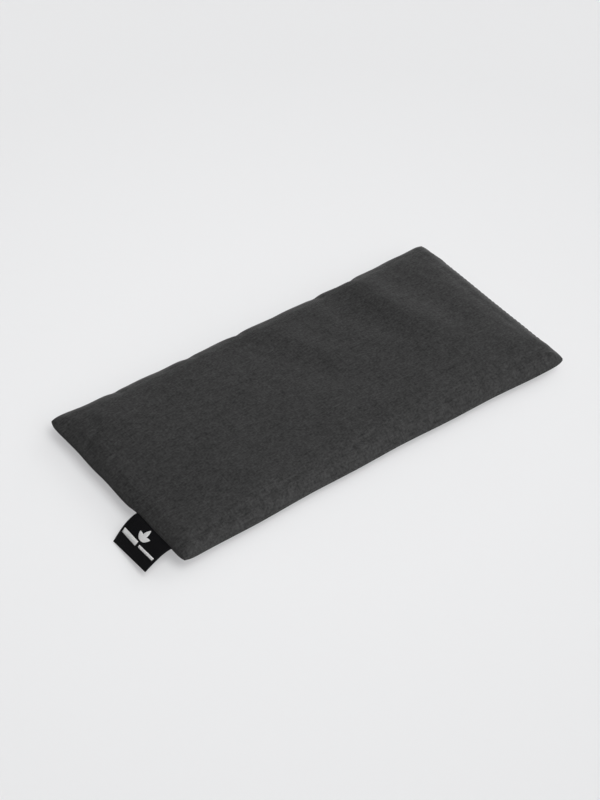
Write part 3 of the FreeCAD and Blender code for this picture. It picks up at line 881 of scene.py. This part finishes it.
def bag_shape():
    """The cover's two panels as fine grids of points, with their places on the cut cloth."""
    bag = Bag(CUT_LENGTH, CUT_WIDTH, SPACING, 4 * MM, (GAP_LOW, GAP_HIGH))
    grids = starting_shape(bag, CROWN_Z, 30 * MM)
    grids = simulate(bag, *grids, CUT_LENGTH * CUT_WIDTH * CROWN_Z)
    return finer(bag.flat, 3), *[finer(relax(fill_lip(bag, grid), 3), 3) for grid in grids]


cut, cover_top, cover_bottom = bag_shape()
top_edge, bottom_edge = shape_cover(cover_top, cover_bottom)
loop = rim_loop(*cut.shape[:2])
rim = cover_top.reshape(-1, 3)[loop]
rim[:, 2] = seam_height(rim[:, 0], rim[:, 1])
top_edge, bottom_edge = top_edge.reshape(-1)[loop], bottom_edge.reshape(-1)[loop]

# the fold stands further off the seam where it holds the label's two plies
at_left_end = np.abs(rim[:, 0] + LENGTH / 2) < 4 * MM
label_rows = smooth(-3, 0, rim[:, 1] - LABEL_FRONT) * smooth(3, 0, rim[:, 1] - LABEL_BACK)
parting = FOLD_GAP + np.where(at_left_end, PLY_GAP * label_rows, 0)

charcoal = cotton(
    "charcoal_cotton", (0.0106, 0.0106, 0.0106, 1), (0.0542, 0.0540, 0.0538, 1),
    0.42 * MM, 0.10,
)
natural = cotton(
    "natural_cotton", (0.52, 0.47, 0.38, 1), (0.80, 0.76, 0.67, 1),
    0.34 * MM, 0.12, mottle=0.8,
)
charcoal_thread = twisted("charcoal_thread", (0.018, 0.018, 0.019, 1), (0.055, 0.055, 0.057, 1))
natural_thread = twisted("natural_thread", (0.55, 0.51, 0.43, 1), (0.84, 0.81, 0.73, 1))
ribbon = satin("black_ribbon", (0.0010, 0.0010, 0.0015, 1), (0.0045, 0.0045, 0.0055, 1))
mark_white = woven_mark("mark_weave", (0.55, 0.55, 0.54, 1), (0.9, 0.9, 0.89, 1))

top_panel = panel_shell(
    "cover_top", cover_top, 1, cut, rim[:, 2], top_edge, parting, CLOTH, ALLOWANCE, charcoal,
)
bottom_panel = panel_shell(
    "cover_bottom", cover_bottom, -1, cut, rim[:, 2], bottom_edge, parting, CLOTH, ALLOWANCE,
    charcoal,
)
for piece, node in ((top_panel, "cover_top_panel"), (bottom_panel, "cover_bottom_panel")):
    on_cover(piece, node)

# ------------ what is inside


def inside_panel(outer, side, margin, drop, reach):
    """A copy of a cover panel, inset by margin rows and columns, that stays drop below it."""
    part = outer[margin:-margin, margin:-margin].copy()
    x, y = part[..., 0], part[..., 1]
    away = np.minimum.reduce(from_borders(x, y))
    seam = seam_height(x, y)
    share = np.sqrt(1 - (1 - np.clip(away / reach, 0, 1)) ** 2)
    part[..., 2] = seam + (part[..., 2] - side * drop - seam) * share
    return part


POUCH_MARGIN = 9
POUCH_DROP = 0.9 * MM
POUCH_ROUND = 7 * MM
POUCH_CLOTH = 0.30 * MM
POUCH_EDGE = 0.62 * MM
POUCH_ALLOWANCE = 3 * MM
# seam line to seam line
pouch_cut = cut[POUCH_MARGIN:-POUCH_MARGIN, POUCH_MARGIN:-POUCH_MARGIN]
pouch_rims = {}
for side, outer, name in ((1, cover_top, "pouch_top"), (-1, cover_bottom, "pouch_bottom")):
    grid = inside_panel(outer, side, POUCH_MARGIN, POUCH_DROP, POUCH_ROUND)
    border = pouch_rims[name] = grid.reshape(-1, 3)[rim_loop(*grid.shape[:2])]
    seam = seam_height(border[:, 0], border[:, 1])
    piece = panel_shell(
        name, grid, side, pouch_cut, seam, POUCH_EDGE, FOLD_GAP, POUCH_CLOTH, POUCH_ALLOWANCE,
        natural,
    )
    on_cover(piece, name + "_panel")

SEED_HIGH = 0.75 * MM


def seed_relief(x, y, long=4.3 * MM, wide=2.3 * MM, high=SEED_HIGH):
    """The lumpy skin of packed flaxseed: the highest of the nearest seeds at each point."""
    step = np.array([3.1 * MM, 2.5 * MM])
    cell = np.floor(np.stack([x, y], -1) / step).astype(int)
    low = cell.reshape(-1, 2).min(0) - 2
    size = cell.reshape(-1, 2).max(0) - low + 3
    shift = rng.uniform(0.1, 0.9, (*size, 2))
    turn = rng.uniform(0, math.pi, tuple(size))
    sit = rng.uniform(0.5, 1.0, tuple(size))
    best = np.zeros(x.shape)
    for over in (-1, 0, 1):
        for down in (-1, 0, 1):
            near = cell + (over, down)
            slot = tuple((near - low)[..., k] for k in (0, 1))
            seed = (near + shift[slot]) * step
            dx, dy = x - seed[..., 0], y - seed[..., 1]
            c, s = np.cos(turn[slot]), np.sin(turn[slot])
            reach = ((dx * c + dy * s) / (long / 2)) ** 2 + ((dy * c - dx * s) / (wide / 2)) ** 2
            best = np.maximum(best, sit[slot] * high * np.sqrt(np.clip(1 - reach, 0, 1)))
    return best


FILL_MARGIN = POUCH_MARGIN + 1
FILL_DROP = 1.3 * MM
FILL_ROUND = 9 * MM
SEED_ROOM = 2.9 * MM
fill_cut = finer(cut[FILL_MARGIN:-FILL_MARGIN, FILL_MARGIN:-FILL_MARGIN], 2)
fill_top = finer(inside_panel(cover_top, 1, FILL_MARGIN, FILL_DROP + SEED_ROOM, FILL_ROUND), 2)
fill_bottom = finer(inside_panel(cover_bottom, -1, FILL_MARGIN, FILL_DROP, FILL_ROUND), 2)
middle = smooth(0, 2.5, fill_top[..., 2] - fill_bottom[..., 2])
for side, grid in ((1, fill_top), (-1, fill_bottom)):
    grid[..., 2] -= side * (SEED_HIGH - seed_relief(grid[..., 0], grid[..., 1])) * middle


def grainy(name, dark, light, patch, grain, relief, **finish):
    """Patches of dark and light under a fine grain, which also roughens the surface.

    patch and grain are each a noise's waves to the metre, detail, roughness and weight.
    """
    n = new_material(name)
    place = n.place()
    coarse, fine = (n.noise(place, *kind[:3]) for kind in (patch, grain))
    tone = n.total(n.swing(coarse, patch[3]), n.scaled(fine, grain[3]), clamp=True)
    return n.set(Base_Color=n.mix(tone, dark, light), Normal=n.bump(fine, relief), **finish)


brown = grainy(
    "flaxseed_brown", (0.075, 0.028, 0.010, 1), (0.30, 0.14, 0.055, 1),
    (420, 2.0, 0.5, 2.2), (3000, 2.0, 0.5, 0.9), 0.05 * MM,
    Roughness=0.34, Coat_Weight=0.3, Coat_Roughness=0.2,
)
violet = grainy(
    "lavender_violet", (0.085, 0.065, 0.16, 1), (0.34, 0.31, 0.38, 1),
    (700, 3.0, 0.6, 2.0), (5000, 2.0, 0.6, 0.8), 0.08 * MM,
    Roughness=0.9, Sheen_Weight=0.3,
)
fill = closed_form("seed_fill", fill_top, fill_bottom, brown, fill_cut)
on_cover(fill, "flaxseed_fill")


def lavender(count=60, across=10, rings=9, sides=15):
    """Dry lavender buds scattered on the seeds: ribbed calyxes, narrow at the stalk."""
    low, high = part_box("lavender_buds")
    x, y = fill_top[..., 0], fill_top[..., 1]
    turn = np.linspace(0, 2 * np.pi, sides, endpoint=False)
    share = np.linspace(0, 1, rings)
    points, faces = [], []
    for k in range(count):
        px = low.x + (high.x - low.x) * ((k % across) + rng.uniform(0.2, 0.8)) / across
        py = low.y + (high.y - low.y) * ((k // across) + rng.uniform(0.2, 0.8)) / (count / across)
        j, i = np.unravel_index(np.argmin((x - px) ** 2 + (y - py) ** 2), x.shape)
        centre = np.array([px, py, fill_top[j, i, 2] + 1.05 * MM])
        heading, tip = rng.uniform(0, 2 * np.pi), rng.normal(0, 0.06)
        ahead = np.array([math.cos(heading), math.sin(heading), tip])
        side = np.array([-math.sin(heading), math.cos(heading), 0])
        over = np.cross(ahead, side)
        length = rng.uniform(4.2, 5.4) * MM
        wide = rng.uniform(0.78, 0.92) * MM
        start = len(points)
        for s in share:
            girth = wide * (0.25 + 0.75 * math.sin(math.pi * (0.08 + 0.8 * s)) ** 0.7)
            for a in turn:
                rib = girth * (1 + 0.09 * math.cos(5 * a))
                offset = side * math.cos(a) + over * math.sin(a)
                points.append(centre + ahead * (s - 0.5) * length + offset * rib)
        faces += tube(start, rings, sides)
    return add_mesh("lavender", points, faces, violet)


on_cover(lavender(), "lavender_buds")

# ------------ sewing


def inset_path(points, inset, side, height):
    """The rim moved in and up or down, as a line for stitches."""
    path = points.copy()
    path[:, :2] -= outwards(points) * inset
    path[:, 2] += side * height
    return path


def open_at_gap(path):
    """Cut the loop at the closing gap, and leave out the part beside it."""
    beside = (path[:, 0] > 0) & (path[:, 1] > GAP_LOW) & (path[:, 1] < GAP_HIGH)
    beside &= path[:, 0] > path[:, 0].max() - 4 * MM
    last = np.nonzero(beside)[0].max()
    turned = np.roll(path, -last - 1, axis=0)
    return turned[: len(path) - beside.sum()]


# rows of stitches: how far in from the rim, how far above the seam, and the thread's radius
COVER_ROW = (1.3 * MM, 0.56 * MM, 0.12 * MM)
POUCH_ROW = (1.2 * MM, 0.45 * MM, 0.11 * MM)
CLOSING_THREAD = 0.14 * MM


def sew(name, path, pitch, side, radius, thread):
    """Sew a row of stitches in place of the CAD thread of that name."""
    on_cover(stitches(name, path, pitch, side, radius, thread), name + "_thread")


for side, name in ((1, "needle"), (-1, "bobbin")):
    inset, height, radius = COVER_ROW
    path = open_at_gap(inset_path(rim, inset, side, height))
    sew("cover_seam_" + name, path, SEAM_PITCH, side, radius, charcoal_thread)
    inset, height, radius = POUCH_ROW
    path = inset_path(pouch_rims["pouch_top"], inset, side, height)
    sew("pouch_seam_" + name, path, SEAM_PITCH, side, radius, natural_thread)
    outer = cover_top if side > 0 else cover_bottom
    lip_rows = (outer[:, -1, 1] > GAP_LOW) & (outer[:, -1, 1] < GAP_HIGH)
    path = (0.6 * outer[:, -2] + 0.4 * outer[:, -3])[lip_rows]
    sew("closing_" + name, path, CLOSING_PITCH, side, CLOSING_THREAD, charcoal_thread)

# ------------ the side label

TAIL = 5.8 * MM
RIBBON = 0.2 * MM
REACH = 17.5 * MM
label_width = LABEL_BACK - LABEL_FRONT


def midline(y):
    """The label's middle line at one y: each point's distance out from the seam, and its x and z.

    It is a Bezier curve from the seam, level at first, down to the floor.
    """
    edge_x = np.interp(y, cover_top[:, 0, 1], cover_top[:, 0, 0])
    root_z = seam_height(edge_x, y)
    share = (y - LABEL_FRONT) / label_width
    end = np.array([label_low.x - (1.7 - 1.0 * share) * MM, (4.3 - 3.9 * share) * MM])
    root = np.array([edge_x, root_z])
    first = root + np.array([-5.5, 0.1]) * MM
    second = end + np.array([4.8, 1.9 + 1.7 * share]) * MM
    t = np.linspace(0, 1, 60)[:, None]
    u = 1 - t
    curve = root * u**3 + 3 * first * t * u**2 + 3 * second * t * t * u + end * t**3
    tail = root + np.array([1, 0]) * np.linspace(TAIL, 0, 12, endpoint=False)[:, None]
    line = np.concatenate([tail, curve])
    return run_along(line) - TAIL, line


def label_layer(s, y, lift):
    """A point lift above the label's middle line, s out from the seam on the line at y."""
    run, line = midline(y)
    s = np.asarray(s, float)
    here, slope = on_line(s, run, line, 0.3 * MM)
    up = np.stack([slope[..., 1], -slope[..., 0]], -1)
    at = here + up * np.reshape(lift, (-1, 1))
    skew = -1.8 * MM * np.clip(s / REACH, 0, None) ** 1.5
    return np.stack([at[:, 0], y + skew, at[:, 1]], -1), slope, up


def half_gap(s, end=math.inf):
    """Half the gap between the plies, s out from the seam; it closes at the seam and the end."""
    return PLY_GAP / 2 * (0.92 + 0.9 * smooth(2, 12, s) * smooth(0, 6, end - s))


def label_grid(columns=70, rows=34):
    """The ribbon's own middle surface: out along the top ply, round the fold and back below."""
    grid, flat = [], []
    turn = [(math.sin(a), math.cos(a)) for a in np.linspace(0, np.pi, 8)[1:-1]]
    for y in np.linspace(LABEL_BACK, LABEL_FRONT, rows + 1):
        run, line = midline(y)
        end = run[-1] - PLY_GAP
        s = np.linspace(-TAIL, end, columns)
        half = half_gap(s, end)
        top, bottom = (label_layer(s, y, lift)[0] for lift in (half, -half))
        centre, slope, up = label_layer([end], y, [0.0])
        ahead, above = (np.array([way[0, 0], 0, way[0, 1]]) for way in (slope, up))
        fold = [centre[0] + half[-1] * (ahead * sine + above * cosine) for sine, cosine in turn]
        whole = np.concatenate([top, fold, bottom[::-1]])
        grid.append(whole)
        along = run_along(whole)
        flat.append(np.stack([np.full(len(along), y), along], -1))
    return np.array(grid), np.array(flat)


ribbon_grid, ribbon_flat = label_grid()
label = strip_solid("side_ribbon", ribbon_grid, normals(ribbon_grid), RIBBON, ribbon, ribbon_flat)
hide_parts("side_label", "label_sewn_ends")


def raised(shape, lift=0.1 * MM):
    """A low woven patch on the label from a grid of (s, y) places, closed underneath."""
    rows, columns = shape.shape[:2]
    points = np.empty((2, rows, columns, 3))
    base = half_gap(shape[..., 0]) + RIBBON / 2
    crown = np.ones((rows, columns))
    crown[0] = crown[-1] = 0.55
    crown[:, 0] = crown[:, -1] = 0.55
    for j, i in np.ndindex(rows, columns):
        s, y = shape[j, i]
        lifts = [base[j, i] + lift * crown[j, i], base[j, i] - 0.04 * MM]
        points[:, j, i] = label_layer([s, s], y, lifts)[0]
    flat = shape.reshape(-1, 2)
    return points.reshape(-1, 3), two_layers(rows, columns), np.concatenate([flat, flat])


def leaf(base_s, base_y, heading, length, width, rows=15, columns=7):
    """A pointed leaf, as (s, y) places; heading 0 points back to the seam."""
    t = np.linspace(0.02, 0.98, rows)[:, None]
    k = np.linspace(-1, 1, columns)[None, :]
    half = width / 2 * np.sin(np.pi * t) ** 0.8 * (1.15 - 0.3 * t)
    ahead = np.array([-math.cos(heading), math.sin(heading)])
    side = np.array([-ahead[1], ahead[0]])
    centre = np.array([base_s, base_y])
    return centre + ahead * (t * length)[..., None] + side * (half * k)[..., None]


def bar(s, start, end, width, rows=3, columns=22):
    """A plain bar across the label, as (s, y) places."""
    across = np.linspace(s - width / 2, s + width / 2, rows)
    along = np.linspace(start, end, columns)
    return np.stack(np.meshgrid(across, along, indexing="ij"), -1)


def mark():
    """A sprig of leaves near the seam and, beyond it, one heavy and one light plain bar."""
    y = (LABEL_FRONT + LABEL_BACK) / 2
    patches = [
        leaf(7.6 * MM, y + 0.5 * MM, 0.0, 6.4 * MM, 2.7 * MM),
        leaf(7.7 * MM, y - 0.1 * MM, 1.0, 5.6 * MM, 2.5 * MM),
        leaf(7.7 * MM, y + 1.1 * MM, -1.0, 5.6 * MM, 2.5 * MM),
        bar(10.0 * MM, y + 12.6 * MM, y + 0.9 * MM, 2.4 * MM),
        bar(10.0 * MM, y - 0.9 * MM, y - 12.6 * MM, 1.3 * MM),
    ]
    points, faces, uv = zip(*[raised(patch) for patch in patches])
    starts = np.cumsum([0, *[len(part) for part in points[:-1]]])
    faces = np.concatenate([part + start for part, start in zip(faces, starts)]).tolist()
    points, uv = np.concatenate(points), np.concatenate(uv)
    return add_mesh("label_sprig_and_bars", points, faces, mark_white, uv)


motif = mark()
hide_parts("label_mark")
for piece in (label, motif):
    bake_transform(piece)

camera()
studio()
